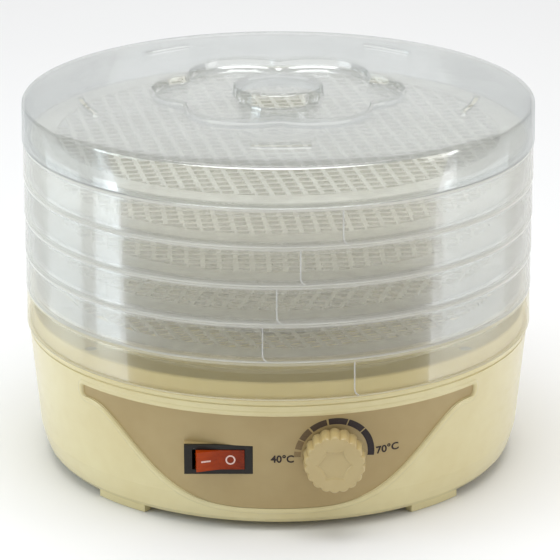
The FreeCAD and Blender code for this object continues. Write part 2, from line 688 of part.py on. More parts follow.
# ---------------------------------------------------------------- build
def build():
    save(base_body(), "base_body")
    save(bottom_cover(), "bottom_cover")
    save(base_deck(), "base_deck")
    save(control_panel(), "control_panel")
    save(switch_housing(), "switch_housing")
    save(switch_terminals(), "switch_terminals")
    save(rocker(), "rocker")
    save(dial_knob(), "dial_knob")
    save(thermostat_shaft(), "thermostat_shaft")
    save(thermostat_body(), "thermostat_body")
    save(thermostat_nut(), "thermostat_nut")
    save(motor_bracket_low(), "motor_bracket_low")
    save(motor_bracket_high(), "motor_bracket_high")
    save(motor_bearing(motor_z0 - 2.3), "motor_bearing_low")
    save(motor_bearing(motor_z0 + 15.7), "motor_bearing_high")
    save(motor_stator(), "motor_stator")
    save(motor_coil(), "motor_coil")
    save(motor_screws(), "motor_screws")
    save(motor_rotor(), "motor_rotor")
    save(fan_impeller(), "fan_impeller")
    save(heat_shield(), "heat_shield")
    save(heater_frame(), "heater_frame")
    save(heater_coil(), "heater_coil")
    save(thermal_fuse(), "thermal_fuse")
    save(air_grille(), "air_grille")
    save(terminal_block(), "terminal_block")
    save(screws(deck_screw_at, deck_screw_r, ledge_z - 1.2, True, 12.0, 2.7), "deck_screws")
    save(screws(cover_screw_at, cover_screw_r, foot_h + 1.2, False, 11.0, 3.1), "cover_screws")
    for n in range(tray_count):
        name = "tray_" + str(tray_count - n)
        save(tray_ring(seat(n + 1)), name + "_wall")
        save(tray_floor(seat(n + 1), tray_turn[n]), name + "_floor")
    save(lid(), "lid")


build()
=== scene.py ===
import math
import bmesh
import bpy
from mathutils import Matrix, Vector


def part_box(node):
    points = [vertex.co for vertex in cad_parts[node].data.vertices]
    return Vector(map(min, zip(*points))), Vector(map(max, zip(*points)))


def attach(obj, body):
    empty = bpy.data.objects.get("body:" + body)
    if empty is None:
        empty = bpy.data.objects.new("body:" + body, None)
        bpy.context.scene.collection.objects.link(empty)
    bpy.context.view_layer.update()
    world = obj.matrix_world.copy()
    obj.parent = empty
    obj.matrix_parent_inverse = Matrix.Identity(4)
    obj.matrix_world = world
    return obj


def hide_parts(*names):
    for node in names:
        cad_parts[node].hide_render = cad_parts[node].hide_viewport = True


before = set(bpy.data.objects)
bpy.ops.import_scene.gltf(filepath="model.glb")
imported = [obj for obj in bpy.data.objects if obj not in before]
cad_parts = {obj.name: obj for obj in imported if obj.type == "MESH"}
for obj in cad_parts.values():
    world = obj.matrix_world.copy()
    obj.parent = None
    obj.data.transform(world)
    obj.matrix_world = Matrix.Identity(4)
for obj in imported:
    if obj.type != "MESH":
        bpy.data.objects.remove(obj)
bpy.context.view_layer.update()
MM = 0.001


# ------------------------------------------------------------------ base shell
# The powered base is cream polypropylene: a shell with flat finger grips and
# feet, and the deck screwed down into it. The faces are spark textured, with
# slow changes of tone where the plastic has yellowed.
class Wire:
    """An output of a finish's node; sums on it add their own Math nodes."""

    def __init__(self, finish, socket):
        self.finish = finish
        self.socket = socket

    def sum(self, operation, first, second):
        return self.finish.node("ShaderNodeMath", {"operation": operation},
                                {0: first, 1: second})

    def __add__(self, other):
        return self.sum("ADD", self, other)

    def __radd__(self, other):
        return self.sum("ADD", other, self)

    def __sub__(self, other):
        return self.sum("SUBTRACT", self, other)

    def __rsub__(self, other):
        return self.sum("SUBTRACT", other, self)

    def __mul__(self, other):
        return self.sum("MULTIPLY", self, other)

    def __rmul__(self, other):
        return self.sum("MULTIPLY", other, self)

    def __truediv__(self, other):
        return self.sum("DIVIDE", self, other)

    def __pow__(self, other):
        return self.sum("POWER", self, other)


class Finish:
    """A material of the dehydrator and the nodes that make it."""

    def __init__(self, name):
        self.material = bpy.data.materials.new(name)
        self.material.use_nodes = True
        self.tree = self.material.node_tree
        self.tree.nodes.clear()
        self.spot = self.node("ShaderNodeTexCoord", {}, {}, "Object")

    def node(self, kind, settings, sockets, out=0):
        made = self.tree.nodes.new(kind)
        for key, value in settings.items():
            setattr(made, key, value)
        for key, value in sockets.items():
            if isinstance(value, Wire):
                self.tree.links.new(value.socket, made.inputs[key])
            else:
                made.inputs[key].default_value = value
        return Wire(self, made.outputs[out]) if made.outputs else self.material

    def cloud(self, size_mm, detail=2.0, stretch=(1.0, 1.0, 1.0)):
        """Soft random tone with features of about this size."""
        spot = self.node("ShaderNodeVectorMath", {"operation": "MULTIPLY"},
                         {0: self.spot, 1: stretch})
        return self.node("ShaderNodeTexNoise", {}, {"Vector": spot, "Scale": 1000.0 / size_mm,
                                                    "Detail": detail, "Roughness": 0.55})

    def limits(self, value, low, high, to_low=0.0, to_high=1.0):
        return self.node("ShaderNodeMapRange", {"clamp": True},
                         {"Value": value, "From Min": low, "From Max": high,
                          "To Min": to_low, "To Max": to_high})

    def blend(self, amount, colour, other):
        pair = [c if isinstance(c, Wire) else tuple(c) + (1.0,) for c in (colour, other)]
        return self.node("ShaderNodeMix", {"data_type": "RGBA"},
                         {0: amount, 6: pair[0], 7: pair[1]}, 2)

    def bump(self, height, depth_mm, strength=1.0):
        return self.node("ShaderNodeBump", {}, {"Height": height, "Strength": strength,
                                                "Distance": depth_mm / 1000.0})

    def plastic(self, sockets):
        return self.node("ShaderNodeBsdfPrincipled", {}, sockets)

    def close(self, shader):
        return self.node("ShaderNodeOutputMaterial", {}, {"Surface": shader})


def moulded(name, colour, aged, rough, grain_mm, grain_depth, **fixed):
    """Injection moulded plastic: textured skin, slow yellowing and faint rubbing."""
    skin = Finish(name)
    tone = skin.limits(skin.cloud(55.0, 3.0), 0.35, 0.68)
    fine = skin.limits(skin.cloud(7.0, 4.0), 0.3, 0.7, 0.0, 0.25)
    rubbed = skin.limits(skin.cloud(11.0, 3.0, (1.0, 1.0, 5.0)), 0.46, 0.72)
    grain = skin.cloud(grain_mm, 2.0)
    sockets = {"Base Color": skin.blend(tone * 0.8 + fine, colour, aged),
               "Roughness": rough + (rubbed - 0.4) * 0.1 + grain * 0.06,
               "Normal": skin.bump(grain, grain_depth, 0.5)}
    sockets.update({key.replace("_", " "): value for key, value in fixed.items()})
    return skin.close(skin.plastic(sockets))


def wear(material, *nodes):
    """Gives carried-over CAD nodes their finish."""
    for node in nodes:
        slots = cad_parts[node].data.materials
        slots.clear()
        slots.append(material)


def piece(name, bm, material, body, replaced=(), sharp=32.0):
    """Closes a bmesh into a named piece that rides on a body."""
    mesh = bpy.data.meshes.new(name)
    bm.to_mesh(mesh)
    bm.free()
    mesh.shade_smooth()
    mesh.set_sharp_from_angle(angle=math.radians(sharp))
    mesh.materials.append(material)
    made = bpy.data.objects.new(name, mesh)
    bpy.context.collection.objects.link(made)
    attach(made, body)
    if replaced:
        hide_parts(*replaced)
    return made


cream = moulded("cream_shell", (0.75, 0.67, 0.375), (0.69, 0.59, 0.30), 0.38, 0.5, 0.03,
                Coat_Weight=0.8, Coat_Roughness=0.22)
wear(cream, "base_body", "base_deck", "bottom_cover")

lip_depth = 3.6
rim_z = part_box("base_deck")[0][2] / MM + lip_depth
shell_top_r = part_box("base_body")[1][0] / MM
shell_draft = 4.8
draft_from = 10.0
shell_low_r = shell_top_r - shell_draft
corner_z = 16.0
corner_out = shell_draft * (corner_z - draft_from) / (rim_z - draft_from)
corner = ((3.4, -4.4), (5.6, -2.6), (9.4, -1.2), (corner_z, corner_out))


def shell_r(z):
    """Radius of the shell's front face at a height, in millimetres."""
    for (z0, out0), (z1, out1) in zip(corner, corner[1:]):
        if z < z1:
            return shell_low_r + out0 + (out1 - out0) * (z - z0) / (z1 - z0)
    return shell_low_r + shell_draft * (z - draft_from) / (rim_z - draft_from)


# ------------------------------------------------------------------ panel ridge
# A low rounded bead moulded on the shell runs right round the control panel:
# along its top, round the blunt ends and down under it.
panel_top = rim_z - 5.2
panel_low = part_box("control_panel")[0][2] / MM
panel_corner = 2.4
panel_corner_top = 1.7
panel_tail = 6.0
panel_half = 46.4
panel_curve = 1.89
panel_last = 49.4 - math.degrees(panel_corner / shell_top_r)


def panel_line(grow):
    """Points round the panel as arc length and height, moved outwards."""
    around = []
    for step in range(-40, 41):
        a = panel_last * step / 40
        k = min(abs(a) / panel_half, 1.0) ** panel_curve
        rise = (panel_top - panel_tail - panel_low) * 0.5 * (1 - math.cos(math.pi * k))
        around.append((shell_top_r * math.radians(a), panel_low + rise))
    end, low = around[-1]
    half = [(end + panel_corner * math.sin(t), low + panel_corner * (1 - math.cos(t)))
            for t in (0.4, 0.8, 1.2, math.pi / 2)]
    half += [(end + panel_corner - panel_corner_top * (1 - math.cos(t)),
              panel_top - panel_corner_top * (1 - math.sin(t)))
             for t in (0.0, 0.5, 1.0, math.pi / 2)]
    half += [(end * tenth / 10, panel_top) for tenth in range(9, 0, -1)]
    around += half + [(0.0, panel_top)] + [(-u, z) for u, z in reversed(half)]
    moved = []
    for index, (u, z) in enumerate(around):
        before = around[index - 1]
        after = around[(index + 1) % len(around)]
        along = Vector((after[0] - before[0], after[1] - before[1])).normalized()
        moved.append((u + along.y * grow, z - along.x * grow))
    return moved


def bead(name, path, radius, closed=False):
    """A round bead along a path of points in millimetres, as a mesh."""
    curve = bpy.data.curves.new(name, "CURVE")
    curve.dimensions = "3D"
    curve.bevel_depth = radius * MM
    curve.bevel_resolution = 3
    curve.use_fill_caps = True
    line = curve.splines.new("POLY")
    line.points.add(len(path) - 1)
    for point, (x, y, z) in zip(line.points, path):
        point.co = (x * MM, y * MM, z * MM, 1.0)
    line.use_cyclic_u = closed
    holder = bpy.data.objects.new(name + "_line", curve)
    mesh = bpy.data.meshes.new_from_object(holder)
    bpy.data.objects.remove(holder)
    bm = bmesh.new()
    bm.from_mesh(mesh)
    bmesh.ops.remove_doubles(bm, verts=bm.verts, dist=1e-6)
    bmesh.ops.recalc_face_normals(bm, faces=bm.faces)
    return bm


def on_shell(a, z, out):
    """A point on the shell's front face, moved outwards."""
    r = shell_r(z) + out
    return (r * math.sin(math.radians(a)), -r * math.cos(math.radians(a)), z)


ridge_r = 1.9
ridge_sunk = 1.45
ridge_off = 1.5
ridge_path = [on_shell(math.degrees(u / shell_top_r), z, -ridge_sunk)
              for u, z in panel_line(ridge_off)]
ridge = bead("panel_ridge", ridge_path, ridge_r, True)
piece("panel_ridge", ridge, cream, "base", sharp=60)


# ------------------------------------------------------------------ control panel
# The panel is a darker tan moulding clipped into the shell's front. Its heat
# scale is pad printed: seven blocks that darken and lengthen from low to high,
# with a plain figure at each end.
tan = moulded("tan_panel", (0.46, 0.35, 0.165), (0.41, 0.30, 0.13), 0.42, 0.45, 0.03)
wear(tan, "control_panel")

knob_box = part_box("dial_knob")
knob_x = (knob_box[0][0] + knob_box[1][0]) / 2 / MM
knob_z = (knob_box[0][2] + knob_box[1][2]) / 2 / MM
panel_sink = 0.9


def on_panel(x, z, out=0.0):
    """A point on the sunk face of the panel, in metres."""
    r = shell_r(z) - panel_sink + out
    return Vector((x * MM, -math.sqrt(r * r - x * x) * MM, z * MM))


def printed(name, colour):
    """Pad printing ink: thin, slightly broken at its edge, a little glossier."""
    ink = Finish(name)
    wearing = ink.limits(ink.cloud(0.6, 3.0), 0.3, 0.75, 0.0, 0.5)
    faded = tuple(c * 1.7 + 0.01 for c in colour)
    sockets = {"Base Color": ink.blend(wearing, colour, faded),
               "Roughness": 0.42 + wearing * 0.2, "Specular IOR Level": 0.25,
               "Normal": ink.bump(ink.cloud(0.4), 0.01, 0.4)}
    return ink.close(ink.plastic(sockets))


scale_r = 16.7
scale_w = 3.0
blocks = ((181.0, 172.0), (168.0, 153.0), (151.0, 131.0), (128.0, 102.0),
          (99.0, 70.0), (68.0, 41.0), (39.0, -8.0))
shades = ((0.24, 0.17, 0.08), (0.20, 0.14, 0.07), (0.13, 0.09, 0.05), (0.065, 0.045, 0.032),
          (0.040, 0.028, 0.025), (0.030, 0.020, 0.019), (0.024, 0.016, 0.016))
for index, ((high, low), shade) in enumerate(zip(blocks, shades)):
    bm = bmesh.new()
    steps = max(2, int((high - low) / 3))
    bmesh.ops.create_grid(bm, x_segments=steps, y_segments=2, size=0.5)
    for vert in bm.verts:
        angle = math.radians(low + (high - low) * (vert.co.x + 0.5))
        r = scale_r + scale_w * vert.co.y
        vert.co = on_panel(knob_x + r * math.cos(angle), knob_z + r * math.sin(angle), 0.06)
    bmesh.ops.recalc_face_normals(bm, faces=bm.faces)
    if bm.faces[:][0].normal.y > 0:
        bmesh.ops.reverse_faces(bm, faces=bm.faces)
    bmesh.ops.solidify(bm, geom=bm.faces[:], thickness=0.05 * MM)
    piece("scale_block_%d" % (index + 1), bm, printed("scale_ink_%d" % (index + 1), shade),
          "base")


def figures(name, words, size, x, z, turn, material, place):
    """Printed characters, made flat and then laid on a surface."""
    text = bpy.data.curves.new(name, "FONT")
    text.body = words
    text.size = size * MM
    text.align_x = "CENTER"
    text.align_y = "CENTER"
    text.extrude = 0.03 * MM
    text.offset = 0.13 * MM
    text.resolution_u = 4
    holder = bpy.data.objects.new(name + "_text", text)
    mesh = bpy.data.meshes.new_from_object(holder)
    bpy.data.objects.remove(holder)
    bm = bmesh.new()
    bm.from_mesh(mesh)
    bmesh.ops.remove_doubles(bm, verts=bm.verts, dist=1e-7)
    bmesh.ops.rotate(bm, verts=bm.verts, matrix=Matrix.Rotation(math.radians(turn), 3, "Z"))
    for vert in bm.verts:
        flat = vert.co / MM
        vert.co = place(x + flat.x, z + flat.y, 0.08 + flat.z)
    return bm


figure_h = 5.0
ink_dark = printed("figure_ink", (0.030, 0.020, 0.018))
for name, words, dx, dz, turn in (("figure_low", "40°C", -23.4, -1.4, 0.0),
                                  ("figure_high", "70°C", 24.2, -0.3, 4.0)):
    bm = figures(name, words, figure_h, knob_x + dx, knob_z + dz, turn, ink_dark, on_panel)
    piece(name, bm, ink_dark, "base")


# ------------------------------------------------------------------ switch
# A bought-in rocker switch snaps into the panel: a black bezel and case, and a
# red see-through rocker with a bar and a ring stamped on it. The panel has a
# raised pad over the bezel.
black = moulded("switch_black", (0.014, 0.012, 0.010), (0.020, 0.017, 0.013), 0.36, 0.35, 0.012,
                Specular_IOR_Level=0.3)
wear(black, "switch_housing")

red = Finish("rocker_red")
# Painted light: the rocker is coloured lighter at its left end and darker towards its right, a
# painted highlight and painted shade; the cloud adds random deeper patches.
painted_side_light = red.limits(red.node("ShaderNodeSeparateXYZ", {}, {0: red.spot}), -0.038, -0.017)
deep = red.limits(red.cloud(3.5, 2.0, (1.0, 1.0, 2.5)), 0.35, 0.7, 0.0, 0.5)
red_body = red.blend(painted_side_light * 0.75 + deep * 0.5, (0.46, 0.058, 0.004), (0.17, 0.017, 0.003))
red_skin = red.plastic({"Base Color": red_body, "Roughness": 0.16 + deep * 0.16,
                        "Subsurface Weight": 0.1, "Subsurface Radius": (0.8, 0.2, 0.1),
                        "Subsurface Scale": 0.002, "Specular IOR Level": 0.2,
                        "Normal": red.bump(red.cloud(1.6), 0.02, 0.5)})
wear(red.close(red_skin), "rocker")

switch_z = (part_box("switch_housing")[0][2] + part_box("switch_housing")[1][2]) / 2 / MM
rocker_x = (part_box("switch_housing")[0][0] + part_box("switch_housing")[1][0]) / 2 / MM
mark_ink = printed("mark_white", (0.70, 0.50, 0.44))
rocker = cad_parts["rocker"]


def on_rocker(x, z, out):
    """A point on the rocker's face as it rests, found from the front."""
    back = rocker.matrix_world.inverted()
    start = back @ (Vector((x, -200.0, z)) * MM)
    ahead = (back.to_3x3() @ Vector((0.0, 1.0, 0.0))).normalized()
    found, spot, normal, index = rocker.ray_cast(start, ahead)
    return rocker.matrix_world @ (spot + normal * out * MM)


bm = bmesh.new()
bmesh.ops.create_grid(bm, x_segments=6, y_segments=2, size=0.5)
for vert in bm.verts:
    vert.co = on_rocker(rocker_x - 5.6 + vert.co.x * 4.2, switch_z + vert.co.y * 0.75, 0.06)
if bm.faces[:][0].normal.y > 0:
    bmesh.ops.reverse_faces(bm, faces=bm.faces)
piece("rocker_mark_on", bm, mark_ink, "rocker_switch")

bm = bmesh.new()
bmesh.ops.create_circle(bm, segments=40, radius=2.25)
circle = bmesh.ops.extrude_edge_only(bm, edges=bm.edges[:])
for vert in circle["geom"]:
    if isinstance(vert, bmesh.types.BMVert):
        vert.co *= 0.7
for vert in bm.verts:
    vert.co = on_rocker(rocker_x + 5.4 + vert.co.x, switch_z + vert.co.y, 0.06)
bm.normal_update()
if bm.faces[:][0].normal.y > 0:
    bmesh.ops.reverse_faces(bm, faces=bm.faces)
piece("rocker_mark_off", bm, mark_ink, "rocker_switch")


# ------------------------------------------------------------------ knob
# The heat knob is a hollow moulding in the panel's lighter tone, pushed on the
# thermostat's shaft. Eighteen scallops run round its side and a shallow
# hexagon is sunk in its face.
knob_tan = moulded("knob_cream", (0.57, 0.455, 0.215), (0.51, 0.385, 0.17), 0.32, 0.4, 0.02,
                   Coat_Weight=0.4, Coat_Roughness=0.18)
knob_front = knob_box[0][1] / MM
knob_back = knob_box[1][1] / MM
knob_r = (knob_box[1][0] - knob_box[0][0]) / 2 / MM
rings = ((0.0, 0.6), (7.4, 0.6), (8.0, 0.12), (8.7, 0.0), (11.4, 0.0), (12.6, 0.12),
         (13.0, 0.5), (13.3, 1.1), (13.6, 5.0), (13.9, 9.6), (13.6, 10.2), (12.0, 10.3),
         (11.6, 9.9), (11.2, 3.0), (7.0, 2.8), (6.6, 8.0), (3.1, 8.0), (3.1, 2.5), (0.0, 2.5))
depth = knob_back - knob_front
bm = bmesh.new()
line = [bm.verts.new((r, 0.0, min(d, depth))) for r, d in rings]
edges = [bm.edges.new(pair) for pair in zip(line, line[1:])]
bmesh.ops.spin(bm, geom=line + edges, cent=(0, 0, 0), axis=(0, 0, 1), angle=2 * math.pi,
               steps=216, use_merge=True)
bmesh.ops.remove_doubles(bm, verts=bm.verts, dist=0.0005)
bmesh.ops.recalc_face_normals(bm, faces=bm.faces)
for vert in bm.verts:
    r = math.hypot(vert.co.x, vert.co.y)
    if r < 0.01:
        continue
    a = math.atan2(vert.co.y, vert.co.x)
    new = r
    if r > 11.75:
        wave = abs(math.sin(9 * a)) ** 0.8
        new = r + (knob_r - 13.9) - 1.0 * (1 - wave) * min(1.0, (r - 11.75) / 1.2)
    elif r < 9.0 and vert.co.z < 2.0:
        sector = a % (math.pi / 3) - math.pi / 6
        new = r * (0.866 / math.cos(sector)) ** 1.7
    vert.co.x *= new / r
    vert.co.y *= new / r
for vert in bm.verts:
    x, y, d = vert.co
    vert.co = Vector((knob_x + x, knob_front + d, knob_z + y)) * MM
bmesh.ops.recalc_face_normals(bm, faces=bm.faces)
piece("heat_knob", bm, knob_tan, "dial", ("dial_knob",), 40)


# ------------------------------------------------------------------ inside the base
# Under the deck sit a shaded-pole motor on steel brackets, its fan, and a
# heater wound on mica with a fuse, inside a tin funnel. Wires end at a ceramic
# block, and self-tapping screws hold the deck and the cover.
def metal(name, colour, rough, brushed=(1.0, 1.0, 1.0)):
    """Bare or plated metal with drawn marks and dull patches."""
    plate = Finish(name)
    marks = plate.cloud(0.8, 3.0, brushed)
    dull = plate.limits(plate.cloud(14.0, 3.0), 0.4, 0.7)
    tarnish = tuple(c * 0.72 for c in colour)
    sockets = {"Base Color": plate.blend(dull * 0.7, colour, tarnish), "Metallic": 1.0,
               "Roughness": rough + dull * 0.15 + (marks - 0.5) * 0.12,
               "Normal": plate.bump(marks, 0.01, 0.5)}
    return plate.close(plate.plastic(sockets))


steel = metal("plated_steel", (0.62, 0.62, 0.60), 0.30, (1.0, 6.0, 1.0))
wear(steel, "motor_bracket_low", "motor_bracket_high", "heat_shield", "deck_screws",
     "cover_screws", "thermostat_shaft", "thermostat_nut", "thermal_fuse")
wear(metal("motor_rotor_steel", (0.50, 0.49, 0.47), 0.34, (1.0, 1.0, 9.0)), "motor_rotor")
wear(metal("brass_parts", (0.70, 0.52, 0.22), 0.32), "switch_terminals", "motor_bearing_low",
     "motor_bearing_high")
wear(metal("heater_wire", (0.42, 0.38, 0.35), 0.45), "heater_coil")

core = Finish("core_steel")
sheet_line = core.node("ShaderNodeTexWave", {"bands_direction": "Z"},
                       {"Vector": core.spot, "Scale": 320.0, "Distortion": 0.4})
core_sockets = {"Base Color": core.blend(sheet_line * 0.7, (0.20, 0.20, 0.21), (0.09, 0.08, 0.08)),
                "Metallic": 0.8, "Roughness": 0.45 + sheet_line * 0.2,
                "Normal": core.bump(sheet_line, 0.08, 0.6)}
wear(core.close(core.plastic(core_sockets)), "motor_stator")

tape = Finish("coil_wrap")
lap = tape.node("ShaderNodeTexWave", {"bands_direction": "X"},
                {"Vector": tape.spot, "Scale": 90.0, "Distortion": 1.0})
tape_sockets = {"Base Color": tape.blend(lap, (0.55, 0.42, 0.10), (0.40, 0.29, 0.07)),
                "Roughness": 0.32 + tape.cloud(3.0) * 0.2, "Normal": tape.bump(lap, 0.12, 0.7)}
wear(tape.close(tape.plastic(tape_sockets)), "motor_coil")

wear(moulded("fan_plastic", (0.055, 0.055, 0.058), (0.080, 0.078, 0.074), 0.42, 0.4, 0.02),
     "fan_impeller")
wear(moulded("stone_ceramic", (0.72, 0.70, 0.64), (0.60, 0.57, 0.50), 0.62, 0.8, 0.05),
     "terminal_block")
wear(moulded("thermostat_resin", (0.030, 0.026, 0.024), (0.045, 0.038, 0.032), 0.5, 0.6, 0.03),
     "thermostat_body")
wear(moulded("grille_cream", (0.74, 0.69, 0.46), (0.64, 0.56, 0.33), 0.45, 0.5, 0.03),
     "air_grille")

mica = Finish("mica_board")
flake = mica.node("ShaderNodeTexVoronoi", {}, {"Vector": mica.spot, "Scale": 420.0}, "Color")
mica_tone = mica.node("ShaderNodeSeparateColor", {}, {0: flake})
mica_sockets = {"Base Color": mica.blend(mica_tone, (0.52, 0.46, 0.36), (0.36, 0.29, 0.20)),
                "Roughness": 0.28 + mica_tone * 0.3, "Normal": mica.bump(mica_tone, 0.03, 0.4)}
wear(mica.close(mica.plastic(mica_sockets)), "heater_frame")


# ------------------------------------------------------------------ tray walls
# Five interchangeable trays in clear polystyrene. Each wall is a thin ring with
# a shoulder for the wall above, an upstand that centres it and a short rib
# under the floor. One raised line up each wall marks where the mould parted.
def clear(name, haze, tint, milk, rough=0.06, edge=0.35, gloss=0.6, fogged=None, seam_highlight=None):
    """Clear moulded plastic: see-through, with a gloss that grows at a slant and a haze.

    fogged is two heights and the haze above them; the last argument is a seam's height, the pitch
    of the seam bands, half a band's width and the milky haze painted in that band as the seam's
    highlight.
    """
    pane = Finish(name)
    slant = pane.node("ShaderNodeLayerWeight", {}, {"Blend": 0.5}, "Facing")
    swirl = pane.limits(pane.cloud(9.0, 4.0, (1.0, 1.0, 2.5)), 0.35, 0.7)
    fog = pane.limits(pane.cloud(45.0, 2.0), 0.35, 0.7)
    ripple = pane.bump(pane.cloud(7.0, 2.0), 0.08, 0.18)
    share = haze
    if fogged:
        height = pane.node("ShaderNodeSeparateXYZ", {}, {0: pane.spot}, "Z")
        share = pane.limits(height, fogged[0], fogged[1], haze, fogged[2])
    haze_and_painted_highlight = share * (0.8 + swirl * 0.3 + fog * 0.3) + slant ** 3.0 * edge
    # Painted highlight: a band of extra milky haze at each seam between trays stands in for the
    # light the shoulders catch there.
    if seam_highlight:
        height = pane.node("ShaderNodeSeparateXYZ", {}, {0: pane.spot}, "Z")
        turns = pane.node("ShaderNodeMath", {"operation": "FRACT"},
                          {0: (height - seam_highlight[0]) / seam_highlight[1] + 0.5})
        off = pane.node("ShaderNodeMath", {"operation": "ABSOLUTE"}, {0: turns - 0.5})
        haze_and_painted_highlight = haze_and_painted_highlight + pane.limits(off * seam_highlight[1], seam_highlight[2], seam_highlight[2] * 0.4, 0.0, seam_highlight[3])
    shine = pane.node("ShaderNodeFresnel", {}, {"IOR": 1.5}) * gloss
    passing = pane.node("ShaderNodeBsdfTransparent", {}, {"Color": tuple(tint) + (1.0,)})
    mirror = pane.node("ShaderNodeBsdfAnisotropic", {},
                       {"Color": (0.97, 0.98, 0.99, 1.0), "Roughness": rough + swirl * 0.05,
                        "Normal": ripple})
    skin = pane.node("ShaderNodeMixShader", {}, {0: shine, 1: passing, 2: mirror})
    body = pane.plastic({"Base Color": pane.blend(fog, milk, tuple(c * 0.93 for c in milk)),
                         "Roughness": 0.4 + swirl * 0.1, "Specular IOR Level": 0.3})
    made = pane.close(pane.node("ShaderNodeMixShader", {}, {0: haze_and_painted_highlight, 1: skin, 2: body}))
    made.surface_render_method = "BLENDED"
    return made


def turned(outline, steps=192, closed=True):
    """A closed outline of radius and height in millimetres, turned round the stack."""
    bm = bmesh.new()
    line = [bm.verts.new((r * MM, 0.0, z * MM)) for r, z in outline]
    pairs = list(zip(line, line[1:])) + ([(line[-1], line[0])] if closed else [])
    edges = [bm.edges.new(pair) for pair in pairs]
    bmesh.ops.spin(bm, geom=line + edges, cent=(0, 0, 0), axis=(0, 0, 1),
                   angle=2 * math.pi, steps=steps, use_merge=True)
    bmesh.ops.remove_doubles(bm, verts=bm.verts, dist=1e-6)
    bmesh.ops.recalc_face_normals(bm, faces=bm.faces)
    return bm


pitch = 17.9
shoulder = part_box("tray_5_floor")[0][2]
# Heights, pitch, half-width and milky haze of the painted highlight bands at the seams between
# trays.
seam_highlight_bands = (shoulder - 0.3 * MM, pitch * MM, 1.4 * MM, 0.44)
wall_clear = clear("clear_wall", 0.056, (0.994, 0.994, 0.988), (0.95, 0.94, 0.89), 0.09, 0.3, 0.5,
                   None, seam_highlight_bands)
# Painted shade: tray 5's wall is tinted golden, with a golden haze, standing in for the deeper
# golden tone of the shaded cream base seen through it.
wall_golden_shade = clear("clear_wall_painted_shade", 0.03, (0.99, 0.975, 0.92), (0.93, 0.88, 0.70), 0.09,
                  0.16, 0.4, None, seam_highlight_bands)
# The parting lines are real raised beads; their strong milky haze is a painted highlight that
# makes them read as bright lines.
line_painted_highlight = clear("clear_line_painted_highlight", 0.40, (0.98, 0.98, 0.98), (0.95, 0.95, 0.94), 0.09, 0.3, 1.0)
parting = (16.4, -3.3, -0.3, 4.7, 13.7)
trays = ("tray_5", "tray_4", "tray_3", "tray_2", "tray_1")
shoulders = [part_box(tray + "_floor")[0][2] / MM for tray in trays]
wall_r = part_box("tray_5_wall")[1][0] / MM
for tray, z0, mark in zip(trays, shoulders, parting):
    low = z0 - pitch + 0.1
    outline = [(r, z0 + dz) for r, dz in (
        (wall_r - 0.35, -17.8), (wall_r - 0.05, -17.65), (wall_r, -17.3), (wall_r - 0.4, -0.9),
        (wall_r - 0.6, -0.3), (wall_r - 1.1, 0.0), (wall_r - 2.4, 0.0), (wall_r - 2.4, 1.4),
        (wall_r - 2.6, 1.6), (wall_r - 3.6, 1.6), (wall_r - 3.8, 1.4), (wall_r - 3.8, 0.0),
        (wall_r - 8.8, 0.0), (wall_r - 8.8, -1.4), (wall_r - 4.7, -1.4), (wall_r - 4.7, -4.1),
        (wall_r - 4.5, -4.3), (wall_r - 3.5, -4.3), (wall_r - 3.3, -4.1), (wall_r - 3.3, -1.4),
        (wall_r - 2.1, -1.4), (wall_r - 1.8, -1.7), (wall_r - 1.4, -17.5), (wall_r - 1.1, -17.8))]
    wall = turned(outline)
    glaze = wall_golden_shade if tray == "tray_5" else wall_clear
    piece(tray + "_ring", wall, glaze, tray, (tray + "_wall",))
    a = math.radians(mark)
    path = []
    for step in range(13):
        z = low + 0.8 + (pitch - 2.2) * step / 12
        r = wall_r - 0.05 - 0.4 * step / 12
        lean = a + math.radians(0.9) * max(0.0, 1 - step / 2.0) ** 2
        path.append((r * math.sin(lean), -r * math.cos(lean), z))
    line = bead(tray + "_parting_line", path, 0.32)
    piece(tray + "_parting_line", line, line_painted_highlight, tray, sharp=60)


